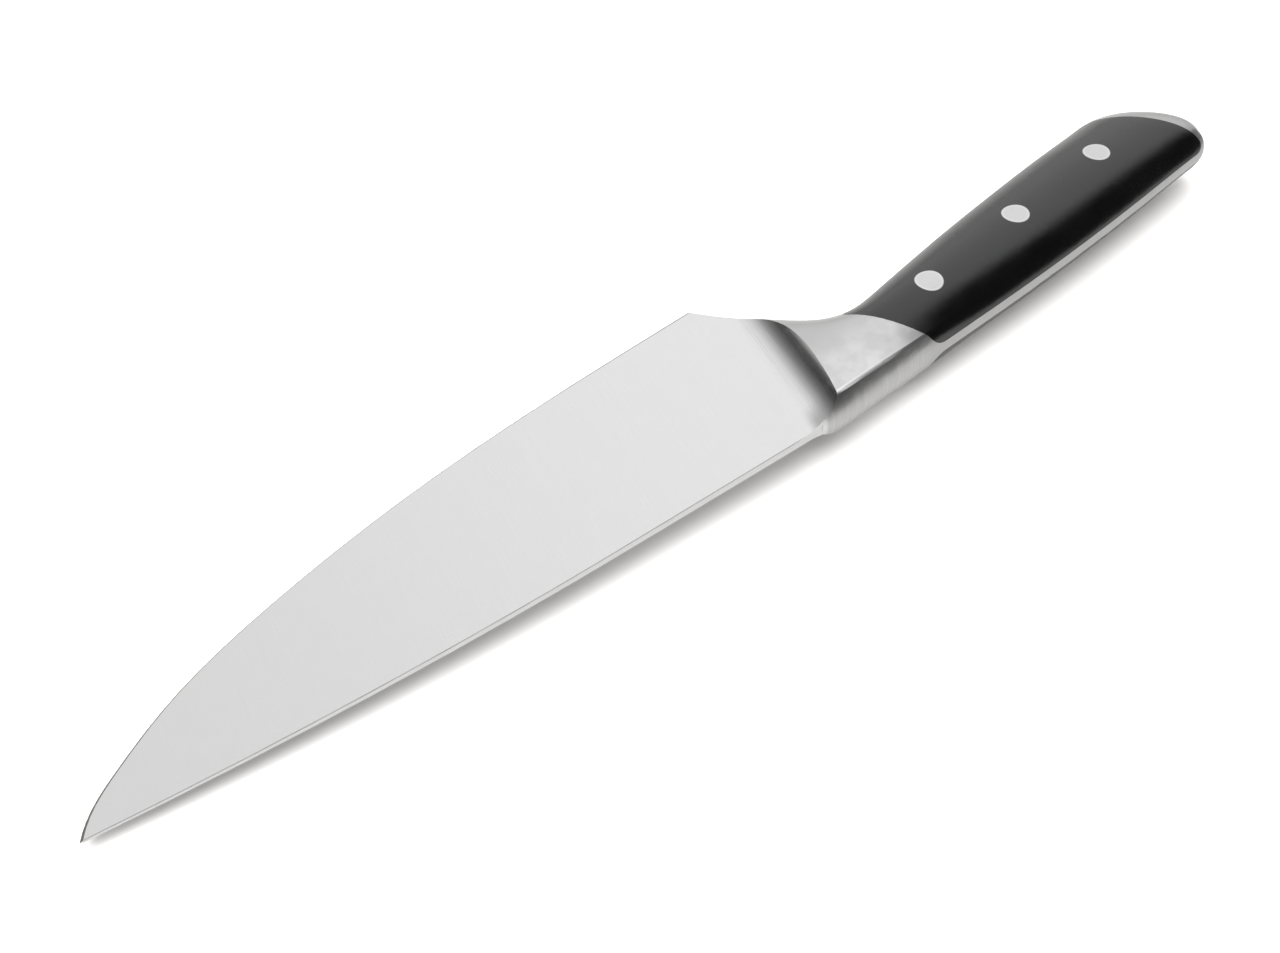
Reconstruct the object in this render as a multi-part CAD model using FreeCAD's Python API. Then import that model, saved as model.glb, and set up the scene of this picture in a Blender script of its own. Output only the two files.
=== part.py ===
import FreeCAD, Part
import math
import os

# Chef knife, millimetres.  One forging (blade, bolster, full tang, butt cap) carries two
# plastic scales, held by three two-part cutlery rivets.
#
# The pieces are drawn in the knife's own frame: X runs from the tip towards the butt, Y from
# the spine towards the cutting edge, Z across the blade, with Z = 0 on the mid-plane and the
# origin where the spine meets the bolster.  At the end they are laid on their side, the way
# the knife rests on a table.

Vector = FreeCAD.Vector
UP = Vector(0, 0, 1)

# Blade outline.
BLADE_LENGTH = 161.0
TIP_DROP = 6.2               # how far the tip lies below the line of the spine
SPINE_STRAIGHT = 50.0        # straight length of the spine in front of the bolster
SPINE_DIP = ((-10.0, 0.0), (-5.2, 0.1))              # the spine dips a little into the bolster
HEEL = (0.7, 44.9)
EDGE_POINTS = ((-156.3, 11.1), (-149.9, 15.3), (-135.0, 23.0), (-109.9, 31.1),
               (-73.3, 38.4), (-32.4, 42.8))
CHOIL_MIDDLE = (3.2, 41.5)   # the rounded back of the heel runs through here
STUB = ((14.0, 20.0), (14.0, 8.0))                   # back end of the blade, inside the bolster

# Blade thickness.
SPINE_THICKNESS = 1.9        # at the bolster
TIP_TAPER = 0.0065           # thickness lost per millimetre towards the tip
EDGE_TAPER = 0.031           # thickness lost per millimetre towards the cutting edge
BLANK_HALF = 2.1             # half thickness of the blank before its faces are ground
SPINE_CHAMFER = 0.08         # taken off the spine's two long edges
CHAMFER_END = -5.5           # where the chamfer stops, at the foot of the scoop
BEVEL_ANGLE = 28.0           # each side of the sharpened edge
BEVEL_REACH = 2.5            # how far the bevel cutter reaches in from the edge
BEVEL_HEIGHT = 3.0
OVERHANG = 0.6               # how far the swept cutters reach out past the blade
LEAD = 3.0                   # and how far they run on past its ends

# Ground scoop where the blade's faces run up into the bolster.
SCOOP_RADIUS = 12.0
SCOOP_WALL = 55.0            # slope of the straight wall above the rounded foot
SCOOP_START = (-5.7, 0.0)    # where its front line crosses the spine
SCOOP_LEAN = 14.0            # lean of that line from square to the spine

# Tang, scales and butt cap.
TANG_THICKNESS = 2.5
SCALE_FRONT = ((31.4, 2.0), (20.4, 17.4), 80.0)      # start, end and radius in the plan
SCALE_END = ((107.6, 34.5), (125.0, 12.0), 220.0)
FRONT_EXIT = (4.0, 18.0)     # way out of the front boundary on the belly side
FRONT_CORNER = 3.0           # radius of the scales' lower corner at the bolster
END_CORNER = 2.5             # and at the butt cap

# Tools that cut the pieces run this far past them.
OUTSIDE = 12.0
TOOL_HEIGHT = 25.0
TOOL_WIDTH = 60.0

# Rivets.
RIVET_PLACES = ((39.5, 12.9), (68.9, 16.8), (98.4, 20.7))
RIVET_NAMES = ("front", "middle", "rear")
RIVET_HEAD_RADIUS = 3.1
RIVET_TUBE_RADIUS = 2.2
RIVET_PIN_RADIUS = 1.4
RIVET_SEAT = 4.2             # height of the heads' seats above the mid-plane
RIVET_PIN_END = 3.6          # depth that the pin reaches beyond the mid-plane

# Rest pose on a table: turn about the length, then about the width, in degrees.
REST_ROLL = -10.6
REST_PITCH = -1.85

# Cross-sections of the bolster, handle and butt cap, from front to back.  Each row holds the
# point on the spine side, the point on the belly side, the half thickness, and the ridge
# between the top and the spine side: its inset and height, then the slopes of the top and of
# the spine side there, in degrees.
SECTIONS = (
    ((-1.0, 0.4), (6.3, 37.2), 5.4, 2.6, 4.8, 7, 30),
    ((3.0, -0.3), (9.9, 32.6), 5.9, 2.6, 5.2, 8, 32),
    ((10.0, 0.1), (13.6, 28.0), 6.5, 2.4, 5.2, 11, 34),
    ((17.0, 0.8), (18.2, 23.4), 7.2, 2.1, 5.1, 17, 37),
    ((24.0, 1.4), (24.3, 21.4), 7.7, 1.8, 5.0, 24, 40),
    ((32.0, 2.1), (31.8, 22.2), 8.1, 1.6, 4.8, 33, 44),
    ((44.0, 2.9), (43.0, 24.5), 8.3, 1.7, 4.5, 43, 48),
    ((60.0, 4.0), (58.0, 27.4), 8.4, 1.8, 4.5, 47, 48),
    ((80.0, 5.8), (76.0, 30.4), 8.4, 1.9, 4.5, 47, 48),
    ((100.0, 8.1), (94.0, 33.0), 8.3, 1.9, 4.4, 47, 48),
    ((112.0, 9.7), (105.0, 34.4), 8.0, 1.9, 4.3, 47, 48),
    ((119.0, 10.6), (112.2, 34.6), 7.7, 1.8, 4.1, 47, 48),
    ((123.5, 11.2), (117.9, 31.9), 7.2, 1.6, 3.9, 47, 48),
    ((126.4, 12.3), (122.0, 27.7), 6.3, 1.3, 3.5, 47, 48),
    ((127.9, 14.4), (125.1, 23.6), 4.7, 0.8, 2.6, 47, 48),
    ((128.4, 17.0), (127.2, 20.5), 2.2, 0.35, 1.2, 47, 48),
)
BELLY_ANGLE = 32.0           # where the belly side joins the top, as an angle on the ellipse
RIDGE_ROUND = 0.4            # length rounded off each side of the ridge
MIDDLE_SHARE = 0.75          # a cubic arc's middle reaches this share of its inner poles
BELLY_DROP_LIMIT = 0.9       # keeps the belly's inner poles on their own side of the mid-plane


def flat(point):
    """A point of the plan, on the mid-plane."""
    return Vector(point[0], point[1], 0)


def line(start, end):
    return Part.LineSegment(start, end).toShape()


def bulged_arc(start, end, radius):
    """Arc in the plan that bows to the left of the way from start to end."""
    first = flat(start)
    last = flat(end)
    chord = last - first
    sagitta = radius - math.sqrt(radius ** 2 - (chord.Length / 2) ** 2)
    left = Vector(-chord.y, chord.x, 0).normalize()
    return Part.Arc(first, (first + last) * 0.5 + left * sagitta, last)


def curve_through(points):
    """Smooth curve in the mid-plane through a few points of the plan."""
    curve = Part.BSplineCurve()
    curve.interpolate([flat(point) for point in points])
    return curve


def ends_of(curve):
    return curve.value(curve.FirstParameter), curve.value(curve.LastParameter)


def tangents_of(curve):
    return curve.tangent(curve.FirstParameter)[0], curve.tangent(curve.LastParameter)[0]


def edge_curve():
    """The cutting edge from tip to heel."""
    return curve_through(((-BLADE_LENGTH, TIP_DROP),) + EDGE_POINTS + (HEEL,))


def spine_arc():
    """The front of the spine, bowed down to the tip."""
    middle = (-(BLADE_LENGTH + SPINE_STRAIGHT) / 2, TIP_DROP / 4)
    return Part.Arc(flat((-BLADE_LENGTH, TIP_DROP)), flat(middle), flat((-SPINE_STRAIGHT, 0)))


def face_height(x, y):
    """Height of the blade's ground face above the mid-plane."""
    return (SPINE_THICKNESS + TIP_TAPER * x - EDGE_TAPER * y) / 2


def blade_plate():
    """Flat blade blank, with a stub that ends inside the bolster."""
    front_spine = SECTIONS[0][0]
    front_belly = SECTIONS[0][1]
    stub = Part.makePolygon([flat(front_belly), flat(STUB[0]), flat(STUB[1]), flat(front_spine)])
    edges = [
        spine_arc().toShape(),
        edge_curve().toShape(),
        curve_through((HEEL, CHOIL_MIDDLE, front_belly)).toShape(),
        Part.Arc(flat(front_spine), flat(SPINE_DIP[1]), flat(SPINE_DIP[0])).toShape(),
        line(flat(SPINE_DIP[0]), flat((-SPINE_STRAIGHT, 0)))]
    outline = Part.Wire(Part.__sortEdges__(edges + stub.Edges))
    plate = Part.Face(outline).extrude(UP * (2 * BLANK_HALF))
    plate.translate(UP * -BLANK_HALF)
    return plate


def section_wire(spine, belly, half, inset, ridge, top_slope, side_slope):
    """One cross-section of the envelope: four smooth arcs and two rounded ridges."""
    start = flat(spine)
    across = flat(belly) - start
    width = across.Length
    across.normalize()
    near_slope = math.tan(math.radians(top_slope))
    angle = math.radians(BELLY_ANGLE)
    belly_inset = width / 2 * (1 - math.cos(angle))
    belly_height = half * math.sin(angle)
    far_slope = half * math.cos(angle) / (width / 2 * math.sin(angle))

    def place(distance, height):
        return start + across * distance + UP * height

    def towards(first, second):
        """The point on the way to the second one where a ridge's rounding ends."""
        return first + (second - first).normalize() * RIDGE_ROUND

    def half_section(sign):
        """Ridge, spine-side and top arcs of one half, as lists of poles."""
        corner = place(inset, sign * ridge)
        near_rise = (half - ridge) / MIDDLE_SHARE
        far_rise = (half - belly_height) / MIDDLE_SHARE
        near = place(inset + near_rise / near_slope, sign * (ridge + near_rise))
        far = place(width - belly_inset - far_rise / far_slope, sign * (belly_height + far_rise))
        top = [towards(corner, near), near, far, place(width - belly_inset, sign * belly_height)]
        lean = inset / MIDDLE_SHARE
        side_height = ridge - lean * math.tan(math.radians(side_slope))
        side = place(inset - lean, sign * side_height)
        return [side, towards(corner, side)], [towards(corner, side), corner, top[0]], top

    upper_side, upper_ridge, upper_top = half_section(1)
    lower_side, lower_ridge, lower_top = half_section(-1)
    belly_lean = belly_inset / MIDDLE_SHARE
    belly_drop = min(belly_lean * far_slope, BELLY_DROP_LIMIT * belly_height)
    belly_poles = [
        lower_top[-1],
        place(width - belly_inset + belly_lean, -belly_height + belly_drop),
        place(width - belly_inset + belly_lean, belly_height - belly_drop),
        upper_top[-1]]
    arcs = (upper_side[::-1] + lower_side, lower_ridge, lower_top,
            belly_poles, upper_top[::-1], upper_ridge[::-1])
    edges = []
    for poles in arcs:
        curve = Part.BezierCurve()
        curve.setPoles(poles)
        edges.append(curve.toShape())
    return Part.Wire(edges)


def envelope():
    """Outer surface of bolster, scales and butt cap, ground together as one."""
    wires = [section_wire(*row) for row in SECTIONS]
    return Part.makeLoft(wires, True, False)


def face_cutter():
    """Everything above the blade's ground face, with the scoop rounded up into the bolster."""
    lean = math.radians(SCOOP_LEAN)
    normal = Vector(-TIP_TAPER / 2, EDGE_TAPER / 2, 1).normalize()
    along = Vector(math.sin(lean), math.cos(lean), 0)
    along = (along - normal * along.dot(normal)).normalize()
    back = along.cross(normal)
    base = flat(SCOOP_START) + UP * face_height(*SCOOP_START) - along * TOOL_WIDTH

    def at(distance, height):
        return base + back * distance + normal * height

    def foot(angle):
        turn = math.radians(angle)
        return at(SCOOP_RADIUS * math.sin(turn), SCOOP_RADIUS * (1 - math.cos(turn)))

    reach = BLADE_LENGTH + 2 * OUTSIDE
    wall_run = TOOL_HEIGHT / math.tan(math.radians(SCOOP_WALL))
    wall_top = foot(SCOOP_WALL) + back * wall_run + normal * TOOL_HEIGHT
    outline = Part.Wire([
        line(at(-reach, 0), at(0, 0)),
        Part.Arc(at(0, 0), foot(SCOOP_WALL / 2), foot(SCOOP_WALL)).toShape(),
        line(foot(SCOOP_WALL), wall_top),
        line(wall_top, at(-reach, TOOL_HEIGHT)),
        line(at(-reach, TOOL_HEIGHT), at(-reach, 0))])
    return Part.Face(outline).extrude(along * (2 * TOOL_WIDTH))


def swept(profile, path):
    """Solid swept by an upright profile, given by its corners, along a path."""
    sweep = Part.BRepOffsetAPI.MakePipeShell(Part.Wire(path))
    sweep.setBiNormalMode(UP)
    sweep.add(Part.makePolygon(profile + profile[:1]))
    sweep.build()
    sweep.makeSolid()
    return sweep.shape()


def bevel_cutter():
    """Wedge swept along the cutting edge that grinds one side of the sharpened bevel."""
    curve = edge_curve()
    start, end = ends_of(curve)
    start_way, end_way = tangents_of(curve)
    first = start - start_way * LEAD
    inward = start_way.cross(UP)
    rise = math.tan(math.radians(BEVEL_ANGLE))

    def at(distance, height):
        return first + inward * distance + UP * height

    profile = [at(-OVERHANG, -OVERHANG * rise), at(-OVERHANG, BEVEL_HEIGHT),
               at(BEVEL_REACH, BEVEL_HEIGHT), at(BEVEL_REACH, BEVEL_REACH * rise)]
    return swept(profile, [line(first, start), curve.toShape(),
                           line(end, end + end_way * LEAD)])


def spine_cutter():
    """Small prism swept along the spine's upper edge that breaks its corner."""
    def lifted(point):
        return Vector(point.x, point.y, face_height(point.x, point.y))

    flat_arc = spine_arc()
    tip, bend = ends_of(flat_arc)
    middle = flat_arc.value((flat_arc.FirstParameter + flat_arc.LastParameter) / 2)
    arc = Part.Arc(lifted(tip), lifted(middle), lifted(bend))
    start, end = ends_of(arc)
    first = start - tangents_of(arc)[0] * LEAD
    inward = UP.cross(tangents_of(arc)[0]).normalize()

    def at(distance, height):
        return first + inward * distance + UP * height

    profile = [at(SPINE_CHAMFER, 0), at(0, -SPINE_CHAMFER), at(-OVERHANG, -SPINE_CHAMFER),
               at(-OVERHANG, OVERHANG), at(SPINE_CHAMFER, OVERHANG)]
    return swept(profile, [line(first, start), arc.toShape(),
                           line(end, lifted(flat((CHAMFER_END, 0))))])


def scale_window():
    """Plan outline of the scales: bolster arc and butt cap arc, joined outside the handle."""
    front = bulged_arc(*SCALE_FRONT)
    end = bulged_arc(*SCALE_END)
    front_start, front_end = ends_of(front)
    end_start, end_end = ends_of(end)
    corners = [
        front_start - tangents_of(front)[0] * OUTSIDE,
        front_end + flat(FRONT_EXIT),
        end_start - tangents_of(end)[0] * OUTSIDE,
        end_end + tangents_of(end)[1] * OUTSIDE]
    return Part.Face(Part.Wire([
        line(corners[0], front_start), front.toShape(), line(front_end, corners[1]),
        line(corners[1], corners[2]),
        line(corners[2], end_start), end.toShape(), line(end_end, corners[3]),
        line(corners[3], corners[0])]))


def floor_edges(pocket, centre_x):
    """Edges at the foot of one of the pocket's two end walls."""
    floor = TANG_THICKNESS / 2
    return [edge for edge in pocket.Edges
            if edge.BoundBox.ZLength < floor and edge.BoundBox.ZMin < 2 * floor
            and edge.BoundBox.XLength < TOOL_WIDTH
            and abs(edge.BoundBox.Center.x - centre_x) < TOOL_WIDTH / 2]


def scale_pocket():
    """Space of one scale: from the tang's face outwards, between bolster and butt cap."""
    window = scale_window()
    window.translate(UP * (TANG_THICKNESS / 2))
    pocket = window.extrude(UP * TOOL_HEIGHT)
    pocket = pocket.makeFillet(FRONT_CORNER, floor_edges(pocket, SCALE_FRONT[0][0]))
    return pocket.makeFillet(END_CORNER, floor_edges(pocket, SCALE_END[1][0]))


def cylinder(place, radius, bottom, top):
    """Upright cylinder at a place in the plan, between two heights."""
    return Part.makeCylinder(radius, top - bottom, Vector(place[0], place[1], bottom))


def male_rivet(place, outer):
    """Upper half: a disc head, flush with the scale, and a solid pin."""
    head = cylinder(place, RIVET_HEAD_RADIUS, RIVET_SEAT, TOOL_HEIGHT).common(outer)
    pin = cylinder(place, RIVET_PIN_RADIUS, -RIVET_PIN_END, RIVET_SEAT)
    return head.fuse(pin).removeSplitter()


def female_rivet(place, outer):
    """Lower half: a disc head and a tube that the pin is pressed into."""
    head = cylinder(place, RIVET_HEAD_RADIUS, -TOOL_HEIGHT, -RIVET_SEAT).common(outer)
    tube = cylinder(place, RIVET_TUBE_RADIUS, -RIVET_SEAT, RIVET_SEAT)
    bore = cylinder(place, RIVET_PIN_RADIUS, -RIVET_PIN_END, RIVET_SEAT)
    return head.fuse(tube).cut(bore).removeSplitter()


def scale(outer, pocket, side):
    """One scale, with counterbored holes for the rivets; side is 1 for right, -1 for left."""
    body = outer.common(pocket)
    for place in RIVET_PLACES:
        low, high = sorted((0, side * TOOL_HEIGHT))
        body = body.cut(cylinder(place, RIVET_TUBE_RADIUS, low, high))
        low, high = sorted((side * RIVET_SEAT, side * TOOL_HEIGHT))
        body = body.cut(cylinder(place, RIVET_HEAD_RADIUS, low, high))
    return body


def forging(outer, pockets):
    """Blade, bolster, tang and butt cap in one piece."""
    body = blade_plate().fuse(outer)
    for cutter in mirrored_pair(face_cutter()):
        body = body.cut(cutter)
    for pocket in pockets:
        body = body.cut(pocket)
    for place in RIVET_PLACES:
        body = body.cut(cylinder(place, RIVET_TUBE_RADIUS, -TOOL_HEIGHT, TOOL_HEIGHT))
    for cutter in mirrored_pair(bevel_cutter()) + mirrored_pair(spine_cutter()):
        body = body.cut(cutter)
    return body


def mirrored_pair(shape):
    """A right-hand tool and its mirror image on the left."""
    return [shape, shape.mirror(Vector(0, 0, 0), UP)]


def build_pieces():
    """Every piece of the knife in the knife's own frame, by name."""
    outer = envelope()
    pockets = mirrored_pair(scale_pocket())
    pieces = {
        "blade_forging": forging(outer, pockets),
        "scale_right": scale(outer, pockets[0], 1),
        "scale_left": scale(outer, pockets[1], -1)}
    for name, place in zip(RIVET_NAMES, RIVET_PLACES):
        pieces["rivet_" + name + "_male"] = male_rivet(place, outer)
        pieces["rivet_" + name + "_female"] = female_rivet(place, outer)
    return pieces


def lay_down(pieces):
    """Turn the knife to its rest pose on its side and put the origin under its middle."""
    roll = FreeCAD.Rotation(Vector(1, 0, 0), REST_ROLL)
    pitch = FreeCAD.Rotation(Vector(0, 1, 0), REST_PITCH)
    turn = pitch * roll
    whole = Part.makeCompound(list(pieces.values()))
    whole.Placement = FreeCAD.Placement(Vector(0, 0, 0), turn)
    box = whole.optimalBoundingBox(False)
    shift = Vector(-box.Center.x, -box.Center.y, -box.ZMin)
    for shape in pieces.values():
        shape.Placement = FreeCAD.Placement(shift, turn)


def main():
    os.makedirs("parts", exist_ok=True)
    pieces = build_pieces()
    lay_down(pieces)
    for name, shape in pieces.items():
        shape.exportStep("parts/" + name + ".step")
        print(name, shape.isValid(), len(shape.Solids), round(shape.Volume, 1))


main()
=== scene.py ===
import math

import bpy
from mathutils import Euler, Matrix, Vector

# Chef knife on a white studio table.  The CAD pieces keep their shapes; this script gives
# them their materials, and makes the floor, the light and the camera.

MILLIMETRE = 0.001

# The knife's own axes in the model's frame: X along the blade towards the butt, Y from spine
# to edge, Z across, with the origin where the spine meets the bolster.  Turns are about X and
# Y, in degrees.  Places on the knife are in millimetres.
KNIFE_TURN = (-10.6, -1.85)
KNIFE_ORIGIN = Vector((16.21, -21.81, 9.60)) * MILLIMETRE
GRIND_SLOPE = 0.249          # the grind lines lean this much from square to the spine
RIDGE_START = 2.35           # the bolster's ridge: its distance from the spine, and its slope
RIDGE_SLOPE = 0.047
RIVETS = {"front": (39.5, 12.9), "middle": (68.9, 16.8), "rear": (98.4, 20.7)}

# Zones of the forging: each pair is where a smooth step starts and ends.  "Facing" is how far
# the surface faces along an axis of the knife, from -1 to 1.  "Behind" is the distance along X
# from the leaning line through the origin, where the blade ends and the bolster begins.
BOLSTER_FACING = (-0.45, -0.3)
BOLSTER_BEHIND = (-0.5, 0.5)
SCOOP_BEHIND = (-4.5, 0.0)
SIDE_FACING = (-0.42, -0.54)
SHOULDER_SHADE_FACING = (-0.92, -0.64)     # where the side turns over towards the ridge, painted darker as painted shade
BEVEL_FACING = (0.97, 0.93)
BEVEL_BEHIND = (-5.9, -6.6)
BEVEL_OFF_SPINE = (-0.4, -0.2)       # keeps the bevel's painted shade off the spine's chamfers
RIDGE_HIGHLIGHT_REACH = (0.35, 0.1)            # distance from the ridge line, for the painted highlight along it
# Where the painted highlight on the blade runs, from the tip to the heel.
HEEL_LIGHT_ALONG_BLADE = (-170.0, 10.0)
# Where the painted shade of the scoop lies, on its wall and its top.
SCOOP_WALL_SHADE_BEHIND = (-2.5, 3.5)
SCOOP_TOP_SHADE_BEHIND = (-4.5, -1.5)
SCOOP_TOP_SHADE_FROM_SPINE = (7.0, 1.0)
# Where painted shade darkens the bolster's top away from the spine.
BOLSTER_SHADE_FROM_SPINE = (4.0, 18.0)
TANG_START = (24.0, 34.0)            # the bolster's side becomes the bare tang

# Steel, as levels of grey in the base colour; a pair is for the two ends of a noise.
# The blade's tip and heel greys are the two ends of a painted highlight, lighter towards the
# heel.
BLADE_TIP_SHADED = 0.58
BLADE_HEEL_LIT = 0.68
GRIND_MARK = 0.42
GRIND_MARK_STRENGTH = (0.10, 0.5)    # on the blade, and in the scoop
# Painted shade: the grey that darkens the scoop.
SCOOP_SHADE = 0.36
BOLSTER_CLOUD = (0.57, 0.68)
# Painted shade: the bolster's top away from the spine.
BOLSTER_SHADE = 0.46
# Painted highlight: a bright line along the bolster's ridge.
RIDGE_HIGHLIGHT = 0.78
SIDE_STREAKS = (0.53, 0.59)
TANG = 0.50
# Painted shade: a dark band where the side turns over towards the ridge.
SHOULDER_SHADE = 0.27
SPINE = 0.72
# Painted shade: the cutting bevel's dark grey, a dark line along the edge.
BEVEL_SHADE_COLOUR = (0.20, 0.185, 0.175, 1)
RIVET_FACE = (0.57, 0.62)
# Painted highlight: the brighter grey of the rivets' rims.
RIVET_RIM_HIGHLIGHT = 0.66
RIVET_HAIRLINE = 0.2

# Rivet heads, as smooth steps of the distance from the middle.
# The rim's two steps place a painted highlight.
HIGHLIGHT_RIM_INSIDE = (2.3, 2.75)
HIGHLIGHT_RIM_OUTSIDE = (3.1, 2.95)
HAIRLINE = (2.9, 3.08)

# Plastic: its colour at the two ends of a noise.
PLASTIC_COLOURS = ((0.0007, 0.0008, 0.0010, 1), (0.0012, 0.0013, 0.0015, 1))
PLASTIC_IOR = 1.62

# Roughness at the low and the high end of a noise, and what a zone adds or takes away.
GRIND_ROUGHNESS = (0.27, 0.33)
STEEL_CLOUD_ROUGHNESS = (-0.01, 0.02)
SIDE_ROUGHER = 0.15
SCOOP_SMOOTHER = 0.08
POLISH_ROUGHNESS = (0.23, 0.25)
PLASTIC_CLOUD_ROUGHNESS = (-0.02, 0.03)
RIVET_ROUGHNESS = (0.28, 0.38)

# Noise scales per millimetre, one for all directions or one each along X, Y and Z.
FINE_GRIND = (9.0, 0.09, 0.09)
COARSE_GRIND = (1.6, 0.03, 0.03)
FINE_SHARE = 0.6                     # of the grind lines; the rest is coarse
UPRIGHT_STREAKS = (1.1, 0.06, 0.06)
STEEL_CLOUD = 0.22
PLASTIC_GRAIN = 2.5
PLASTIC_POLISH = (0.08, 1.0, 1.0)
PLASTIC_CLOUD = 0.12
RIVET_LINES = (0.3, 9.0, 9.0)
NOISE_RANGE = (0.3, 0.7)             # where most of a noise's values lie
BOLSTER_NOISE_RANGE = (0.35, 0.65)

BUMP_DEPTH = 0.02 * MILLIMETRE
STEEL_BUMP = 0.05
PLASTIC_BUMP = 0.03
RIVET_BUMP = 0.1

# Camera: place in metres, turns in degrees, lens in millimetres.
CAMERA_PLACE = Vector((-0.18709, -0.17045, 0.30567))
CAMERA_TURN = (37.349, -5.938, -38.114)
CAMERA_LENS = 54.84
CAMERA_CLIP_START = 0.01

# Floor, a square of this half side, and its grey to the camera and in reflections.
FLOOR_HALF = 2.0
FLOOR_GREY = 0.86
FLOOR_GREY_MIRRORED = 0.51
FLOOR_ROUGHNESS = 0.9

# Softboxes: bearing and height in degrees, side in metres, radiance.
OVERHEAD_BOX = (-42, 77, 1.6, 4.6)
FILL_BOX = (0, 90, 1.0, 1.3)
BACK_BOXES = {"left": (209, 35, 1.4, 0.48), "right": (118, 25, 0.85, 0.48)}
BOX_DISTANCE = 1.5

# What surrounds the knife.  The panel and the card are smooth steps of the direction's
# X, Y and Z.
DOME_COLOUR = (0.80, 0.785, 0.76, 1)
BACKDROP_GREY = 0.96
PANEL_GREY = 1.2
OUTSIDE_PANEL_GREY = 0.03
PANEL_X = (1.9, 0.5)
PANEL_Y = (-0.2, 0.16)
PANEL_Z = (-0.1, 0.35)
PANEL_STRENGTH = (0.55, 1.0)         # low down, and high up
CARD_X = (-0.06, -0.56)
CARD_Y = (0.4, 0.65)


# ---------------------------------------------------------------- node helpers

class Nodes:
    """Short calls for building one node tree."""

    def __init__(self, tree):
        self.tree = tree
        tree.nodes.clear()

    def add(self, kind, inputs=(), **settings):
        node = self.tree.nodes.new(kind)
        for key, value in settings.items():
            setattr(node, key, value)
        for key, value in dict(inputs).items():
            self.feed(node.inputs[key], value)
        return node

    def feed(self, socket, value):
        if isinstance(value, bpy.types.NodeSocket):
            self.tree.links.new(value, socket)
        else:
            socket.default_value = value

    def math(self, operation, first, second=0.0):
        node = self.add("ShaderNodeMath", operation=operation)
        self.feed(node.inputs[0], first)
        self.feed(node.inputs[1], second)
        return node.outputs[0]

    def product(self, first, *others):
        for other in others:
            first = self.math("MULTIPLY", first, other)
        return first

    def ramp(self, value, start, end, out_start=0.0, out_end=1.0):
        """Smooth step of a value over a range; a start above the end turns it round."""
        node = self.add("ShaderNodeMapRange", interpolation_type="SMOOTHSTEP")
        for key, number in zip(("Value", "From Min", "From Max", "To Min", "To Max"),
                               (value, start, end, out_start, out_end)):
            self.feed(node.inputs[key], number)
        return node.outputs["Result"]

    def noise(self, vector, scale, detail=2.0, roughness=0.5):
        """Noise, with one scale for all directions or a tuple of one for each."""
        if isinstance(scale, tuple):
            scaled = self.add("ShaderNodeMapping", {"Vector": vector, "Scale": scale})
            vector = scaled.outputs["Vector"]
            scale = 1.0
        node = self.add("ShaderNodeTexNoise", {
            "Vector": vector, "Scale": scale, "Detail": detail, "Roughness": roughness})
        return node.outputs["Fac"]

    def mix(self, factor, first, second):
        node = self.add("ShaderNodeMix", data_type="RGBA")
        self.feed(node.inputs["Factor"], factor)
        self.feed(node.inputs["A"], first)
        self.feed(node.inputs["B"], second)
        return node.outputs["Result"]

    def bump(self, height, strength):
        node = self.add("ShaderNodeBump", {
            "Height": height, "Strength": strength, "Distance": BUMP_DEPTH})
        return node.outputs["Normal"]

    def parts(self, vector):
        """The X, Y and Z of a vector, by name."""
        return self.add("ShaderNodeSeparateXYZ", {"Vector": vector}).outputs

    def knife_place(self):
        """Place on the knife in its own axes, in millimetres."""
        place = self.add("ShaderNodeTexCoord").outputs["Object"]
        mapping = self.add("ShaderNodeMapping", {
            "Vector": place, "Location": KNIFE_ORIGIN, "Rotation": knife_turn(),
            "Scale": (MILLIMETRE,) * 3}, vector_type="TEXTURE")
        return mapping.outputs["Vector"]

    def knife_normal(self, axis):
        """How far the surface faces along one of the knife's own axes, X, Y or Z."""
        node = self.add("ShaderNodeVectorMath", operation="DOT_PRODUCT")
        self.feed(node.inputs[0], self.add("ShaderNodeTexCoord").outputs["Normal"])
        self.feed(node.inputs[1], knife_turn().to_matrix().col["XYZ".index(axis)])
        return node.outputs["Value"]


def knife_turn():
    return Euler([math.radians(angle) for angle in (*KNIFE_TURN, 0.0)])


def grey(level):
    return (level, level, level, 1.0)


def new_material(name):
    material = bpy.data.materials.new(name)
    material.use_nodes = True
    return material, Nodes(material.node_tree)


def finish_shader(nodes, inputs):
    shader = nodes.add("ShaderNodeBsdfPrincipled", inputs)
    output = nodes.add("ShaderNodeOutputMaterial")
    nodes.tree.links.new(shader.outputs[0], output.inputs["Surface"])


# ------------------------------------------------------------------- materials

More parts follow.
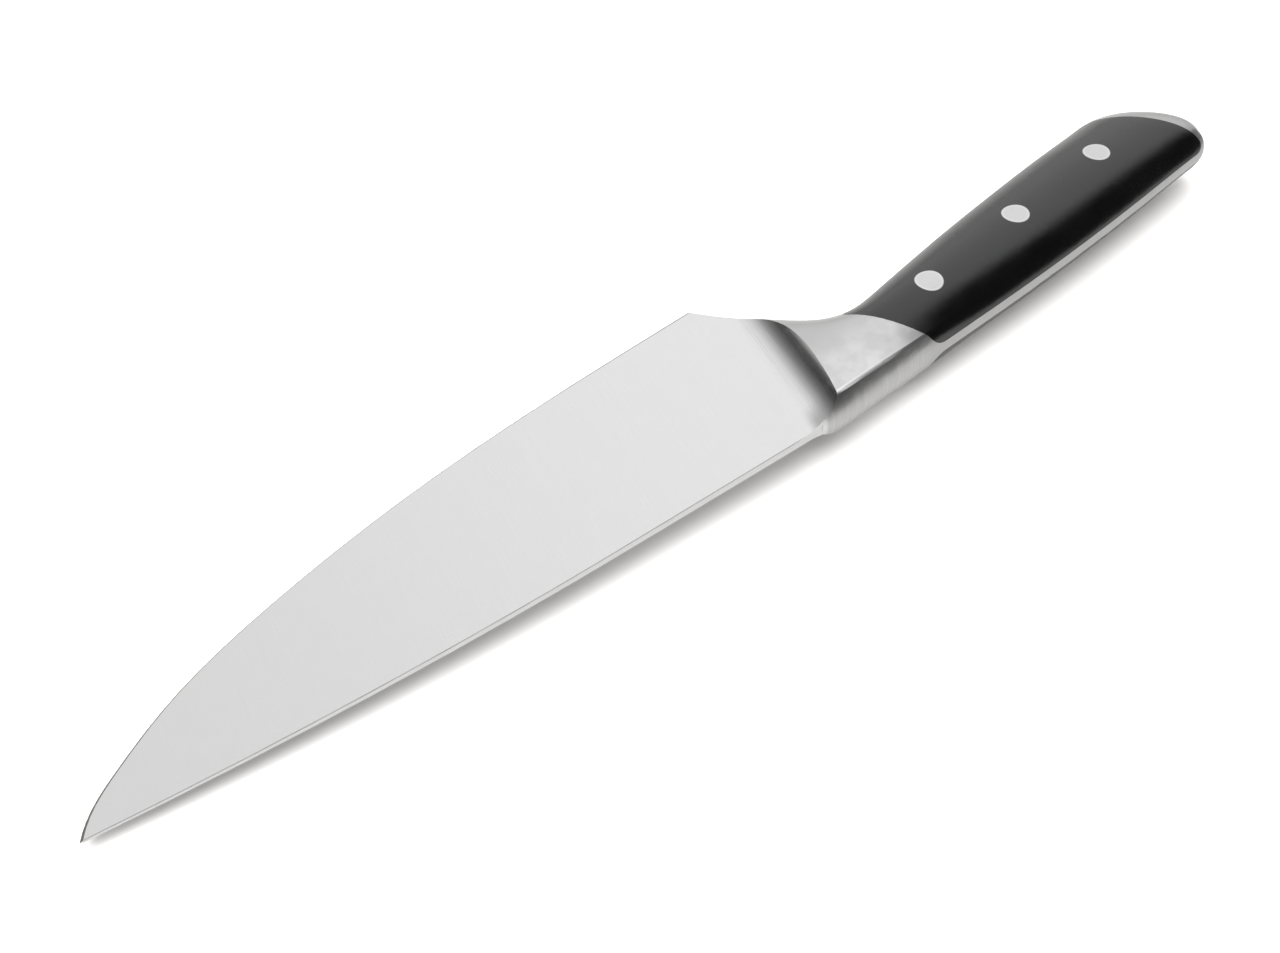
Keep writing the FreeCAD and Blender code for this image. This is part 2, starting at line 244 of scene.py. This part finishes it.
def steel_zones(nodes, place, behind):
    """How much each place belongs to each zone of the forging, from 0 to 1."""
    bolster = nodes.product(nodes.ramp(nodes.knife_normal("X"), *BOLSTER_FACING),
                            nodes.ramp(behind, *BOLSTER_BEHIND))
    scoop = nodes.product(nodes.ramp(behind, *SCOOP_BEHIND),
                          nodes.math("SUBTRACT", 1.0, bolster))
    off_face = nodes.ramp(nodes.math("ABSOLUTE", nodes.knife_normal("Z")), *BEVEL_FACING)
    # Painted shade: the cutting bevel is painted dark.
    bevel = nodes.product(off_face, nodes.ramp(behind, *BEVEL_BEHIND),
                          nodes.ramp(nodes.knife_normal("Y"), *BEVEL_OFF_SPINE))
    levelled = nodes.math("SUBTRACT", place["Y"],
                          nodes.math("MULTIPLY", place["X"], RIDGE_SLOPE))
    from_ridge = nodes.math("ABSOLUTE", nodes.math("SUBTRACT", levelled, RIDGE_START))
    # Painted highlight: a bright line along the bolster's ridge.
    ridge = nodes.product(nodes.ramp(from_ridge, *RIDGE_HIGHLIGHT_REACH), bolster)
    return {"bolster": bolster, "scoop": scoop, "bevel": bevel, "ridge": ridge,
            "side": nodes.ramp(nodes.knife_normal("Y"), *SIDE_FACING)}


def blade_colour(nodes, place, behind, zones, lines):
    """Blade: brighter towards the heel by a painted highlight, with dark grind marks and a scoop
    darkened by painted shade.
    """
    # Painted highlight: the blade is painted lighter towards the heel.
    heel_light = nodes.ramp(place["X"], *HEEL_LIGHT_ALONG_BLADE)
    blade = nodes.mix(heel_light, grey(BLADE_TIP_SHADED), grey(BLADE_HEEL_LIT))
    marks = nodes.product(nodes.ramp(lines, *reversed(NOISE_RANGE)),
                          nodes.ramp(zones["scoop"], 0.0, 1.0, *GRIND_MARK_STRENGTH))
    blade = nodes.mix(marks, blade, grey(GRIND_MARK))
    # Painted shade: the scoop's wall and its upper part are painted darker.
    blade = nodes.mix(nodes.ramp(behind, *SCOOP_WALL_SHADE_BEHIND), blade, grey(SCOOP_SHADE))
    scoop_top_shade = nodes.product(nodes.ramp(place["Y"], *SCOOP_TOP_SHADE_FROM_SPINE),
                              nodes.ramp(behind, *SCOOP_TOP_SHADE_BEHIND))
    return nodes.mix(scoop_top_shade, blade, grey(SCOOP_SHADE))


def bolster_colour(nodes, place, zones, cloud):
    """Top of the bolster: cloudy, with painted shade away from the spine and a painted highlight
    along the ridge.
    """
    bolster = nodes.mix(nodes.ramp(cloud, *BOLSTER_NOISE_RANGE), *map(grey, BOLSTER_CLOUD))
    # Painted shade: the bolster's top is painted darker away from the spine.
    bolster = nodes.mix(nodes.ramp(place["Y"], *BOLSTER_SHADE_FROM_SPINE), bolster, grey(BOLSTER_SHADE))
    crisp_ridge = nodes.ramp(zones["ridge"], 0.0, 1.0)
    return nodes.mix(crisp_ridge, bolster, grey(RIDGE_HIGHLIGHT))


def side_colour(nodes, place, zones, streaks):
    """Surfaces that face the spine's way: the bolster's side, the tang and the spine."""
    side = nodes.mix(nodes.ramp(streaks, *NOISE_RANGE), *map(grey, SIDE_STREAKS))
    side = nodes.mix(nodes.ramp(place["X"], *TANG_START), side, grey(TANG))
    # Painted shade: a dark band where the side turns over towards the ridge.
    side = nodes.mix(nodes.ramp(nodes.knife_normal("Y"), *SHOULDER_SHADE_FACING),
                     side, grey(SHOULDER_SHADE))
    return nodes.mix(zones["bolster"], grey(SPINE), side)


def steel_roughness(nodes, zones, lines, cloud):
    """Satin, rougher on the side and smoother in the scoop."""
    roughness = nodes.math("ADD", nodes.ramp(lines, *NOISE_RANGE, *GRIND_ROUGHNESS),
                           nodes.ramp(cloud, *NOISE_RANGE, *STEEL_CLOUD_ROUGHNESS))
    roughness = nodes.math("ADD", roughness, nodes.product(zones["side"], SIDE_ROUGHER))
    return nodes.math("SUBTRACT", roughness, nodes.product(zones["scoop"], SCOOP_SMOOTHER))


def blade_steel():
    """Satin steel: grind lines on the blade, a cloudy bolster, and streaks on its side."""
    material, nodes = new_material("satin_steel")
    knife = nodes.knife_place()
    place = nodes.parts(knife)
    behind = nodes.math("SUBTRACT", place["X"],
                        nodes.math("MULTIPLY", place["Y"], GRIND_SLOPE))
    leaned = nodes.add("ShaderNodeMapping", {
        "Vector": knife, "Rotation": (0.0, 0.0, math.atan(GRIND_SLOPE))}).outputs["Vector"]
    fine = nodes.noise(leaned, FINE_GRIND, detail=3.0, roughness=0.6)
    coarse = nodes.noise(leaned, COARSE_GRIND)
    lines = nodes.math("ADD", nodes.math("MULTIPLY", fine, FINE_SHARE),
                       nodes.math("MULTIPLY", coarse, 1.0 - FINE_SHARE))
    streaks = nodes.noise(knife, UPRIGHT_STREAKS, detail=3.0, roughness=0.6)
    cloud = nodes.noise(knife, STEEL_CLOUD)

    zones = steel_zones(nodes, place, behind)
    colour = nodes.mix(zones["bolster"], blade_colour(nodes, place, behind, zones, lines),
                       bolster_colour(nodes, place, zones, cloud))
    colour = nodes.mix(zones["side"], colour, side_colour(nodes, place, zones, streaks))
    relief = nodes.mix(zones["bolster"], lines, nodes.mix(zones["side"], cloud, streaks))
    finish_shader(nodes, {
        "Base Color": nodes.mix(zones["bevel"], colour, BEVEL_SHADE_COLOUR),
        "Metallic": 1.0,
        "Roughness": steel_roughness(nodes, zones, lines, cloud),
        "Normal": nodes.bump(relief, STEEL_BUMP)})
    return material


def scale_plastic():
    """Black moulded plastic, lightly polished along the handle."""
    material, nodes = new_material("black_plastic")
    knife = nodes.knife_place()
    grain = nodes.noise(knife, PLASTIC_GRAIN, detail=1.0)
    polish = nodes.noise(knife, PLASTIC_POLISH)
    cloud = nodes.noise(knife, PLASTIC_CLOUD)
    roughness = nodes.math("ADD", nodes.ramp(polish, *NOISE_RANGE, *POLISH_ROUGHNESS),
                           nodes.ramp(cloud, *NOISE_RANGE, *PLASTIC_CLOUD_ROUGHNESS))
    finish_shader(nodes, {
        "Base Color": nodes.mix(nodes.ramp(cloud, *NOISE_RANGE), *PLASTIC_COLOURS),
        "Roughness": roughness,
        "IOR": PLASTIC_IOR,
        "Normal": nodes.bump(grain, PLASTIC_BUMP)})
    return material


def rivet_steel(name, centre):
    """Rivet head ground flush, with a painted highlight on its rim and a dark hairline round it.
    """
    material, nodes = new_material("rivet_steel_" + name)
    knife = nodes.knife_place()
    place = nodes.parts(knife)
    squares = []
    for axis, middle in zip("XY", centre):
        offset = nodes.math("SUBTRACT", place[axis], middle)
        squares.append(nodes.math("MULTIPLY", offset, offset))
    radius = nodes.math("SQRT", nodes.math("ADD", *squares))
    rim_highlight = nodes.product(nodes.ramp(radius, *HIGHLIGHT_RIM_INSIDE), nodes.ramp(radius, *HIGHLIGHT_RIM_OUTSIDE))
    lines = nodes.noise(knife, RIVET_LINES, roughness=0.6)
    face = nodes.mix(nodes.ramp(lines, *NOISE_RANGE), *map(grey, RIVET_FACE))
    # Painted highlight: the rim is painted brighter.
    head = nodes.mix(rim_highlight, face, grey(RIVET_RIM_HIGHLIGHT))
    finish_shader(nodes, {
        "Base Color": nodes.mix(nodes.ramp(radius, *HAIRLINE), head, grey(RIVET_HAIRLINE)),
        "Metallic": 1.0,
        "Roughness": nodes.ramp(lines, *NOISE_RANGE, *RIVET_ROUGHNESS),
        "Normal": nodes.bump(lines, RIVET_BUMP)})
    return material


def assign(node_name, material):
    """Puts a material in every slot of a CAD piece."""
    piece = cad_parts[node_name]
    if not piece.data.materials:
        piece.data.materials.append(material)
    for slot in piece.material_slots:
        slot.material = material


def paint_knife():
    assign("blade_forging", blade_steel())
    black = scale_plastic()
    for side in ("right", "left"):
        assign("scale_" + side, black)
    for rivet, centre in RIVETS.items():
        steel = rivet_steel(rivet, centre)
        for half in ("male", "female"):
            assign("rivet_" + rivet + "_" + half, steel)


# ------------------------------------------------------- floor, light and camera

def make_floor():
    """White table, which the knife mirrors darker than the camera sees it."""
    mesh = bpy.data.meshes.new("floor")
    corners = [(x * FLOOR_HALF, y * FLOOR_HALF, 0)
               for x, y in ((-1, -1), (1, -1), (1, 1), (-1, 1))]
    mesh.from_pydata(corners, [], [(0, 1, 2, 3)])
    floor = bpy.data.objects.new("floor", mesh)
    bpy.context.scene.collection.objects.link(floor)
    material, nodes = new_material("table_white")
    mirrored = nodes.add("ShaderNodeLightPath").outputs["Is Glossy Ray"]
    finish_shader(nodes, {
        "Base Color": nodes.mix(mirrored, grey(FLOOR_GREY), grey(FLOOR_GREY_MIRRORED)),
        "Roughness": FLOOR_ROUGHNESS})
    floor.data.materials.append(material)


def soft_light(name, bearing, height, size, radiance):
    """A square softbox that faces the knife, placed by its angles as seen from there."""
    bearing = math.radians(bearing)
    height = math.radians(height)
    away = Vector((math.sin(bearing) * math.cos(height), math.cos(bearing) * math.cos(height),
                   math.sin(height)))
    data = bpy.data.lights.new(name, "AREA")
    data.shape = "SQUARE"
    data.size = size
    data.energy = radiance * math.pi * size * size
    light = bpy.data.objects.new(name, data)
    light.location = away * BOX_DISTANCE
    light.rotation_euler = (-away).to_track_quat("-Z", "Y").to_euler()
    bpy.context.scene.collection.objects.link(light)
    return light


def make_lights():
    """Two boxes above that aren't mirrored, so that the world alone shapes the reflections,
    and two behind that light only the steel, which would look black from there."""
    key = soft_light("overhead_softbox", *OVERHEAD_BOX)
    key.visible_glossy = False
    fill = soft_light("fill_softbox", *FILL_BOX)
    fill.visible_glossy = False
    fill.data.use_shadow = False

    steel_only = bpy.data.collections.new("steel")
    for name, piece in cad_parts.items():
        if not name.startswith("scale"):
            steel_only.objects.link(piece)
    for name, settings in BACK_BOXES.items():
        box = soft_light("back_softbox_" + name, *settings)
        box.light_linking.receiver_collection = steel_only


def make_world():
    """Reflections show a bright panel towards +Y with a dark card in it, and little outside
    it; all else is lit by an even dome, and the camera sees a pale backdrop."""
    world = bpy.data.worlds.new("studio")
    bpy.context.scene.world = world
    world.use_nodes = True
    nodes = Nodes(world.node_tree)
    rays = nodes.add("ShaderNodeLightPath").outputs
    way = nodes.parts(nodes.add("ShaderNodeTexCoord").outputs["Generated"])
    card = nodes.product(nodes.ramp(way["X"], *CARD_X), nodes.ramp(way["Y"], *CARD_Y))
    panel = nodes.product(nodes.ramp(way["Y"], *PANEL_Y), nodes.ramp(way["X"], *PANEL_X),
                          nodes.ramp(way["Z"], *PANEL_Z, *PANEL_STRENGTH),
                          nodes.math("SUBTRACT", 1.0, card))
    mirrored = nodes.mix(panel, grey(OUTSIDE_PANEL_GREY), grey(PANEL_GREY))
    tent = nodes.mix(rays["Is Glossy Ray"], DOME_COLOUR, mirrored)
    colour = nodes.mix(rays["Is Camera Ray"], tent, grey(BACKDROP_GREY))
    background = nodes.add("ShaderNodeBackground", {"Color": colour})
    output = nodes.add("ShaderNodeOutputWorld")
    nodes.tree.links.new(background.outputs[0], output.inputs["Surface"])


def make_camera():
    data = bpy.data.cameras.new("camera")
    data.lens = CAMERA_LENS
    data.clip_start = CAMERA_CLIP_START
    camera = bpy.data.objects.new("camera", data)
    camera.location = CAMERA_PLACE
    camera.rotation_euler = [math.radians(angle) for angle in CAMERA_TURN]
    bpy.context.scene.collection.objects.link(camera)
    bpy.context.scene.camera = camera


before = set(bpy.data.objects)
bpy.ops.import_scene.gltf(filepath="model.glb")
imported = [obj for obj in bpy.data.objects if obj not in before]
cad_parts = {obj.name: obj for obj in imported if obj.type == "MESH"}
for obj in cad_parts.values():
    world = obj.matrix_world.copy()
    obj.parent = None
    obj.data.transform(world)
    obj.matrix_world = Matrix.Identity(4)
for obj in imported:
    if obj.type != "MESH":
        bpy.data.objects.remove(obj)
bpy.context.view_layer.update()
bpy.context.scene.view_settings.view_transform = "Standard"

make_camera()
make_floor()
make_world()
make_lights()
paint_knife()
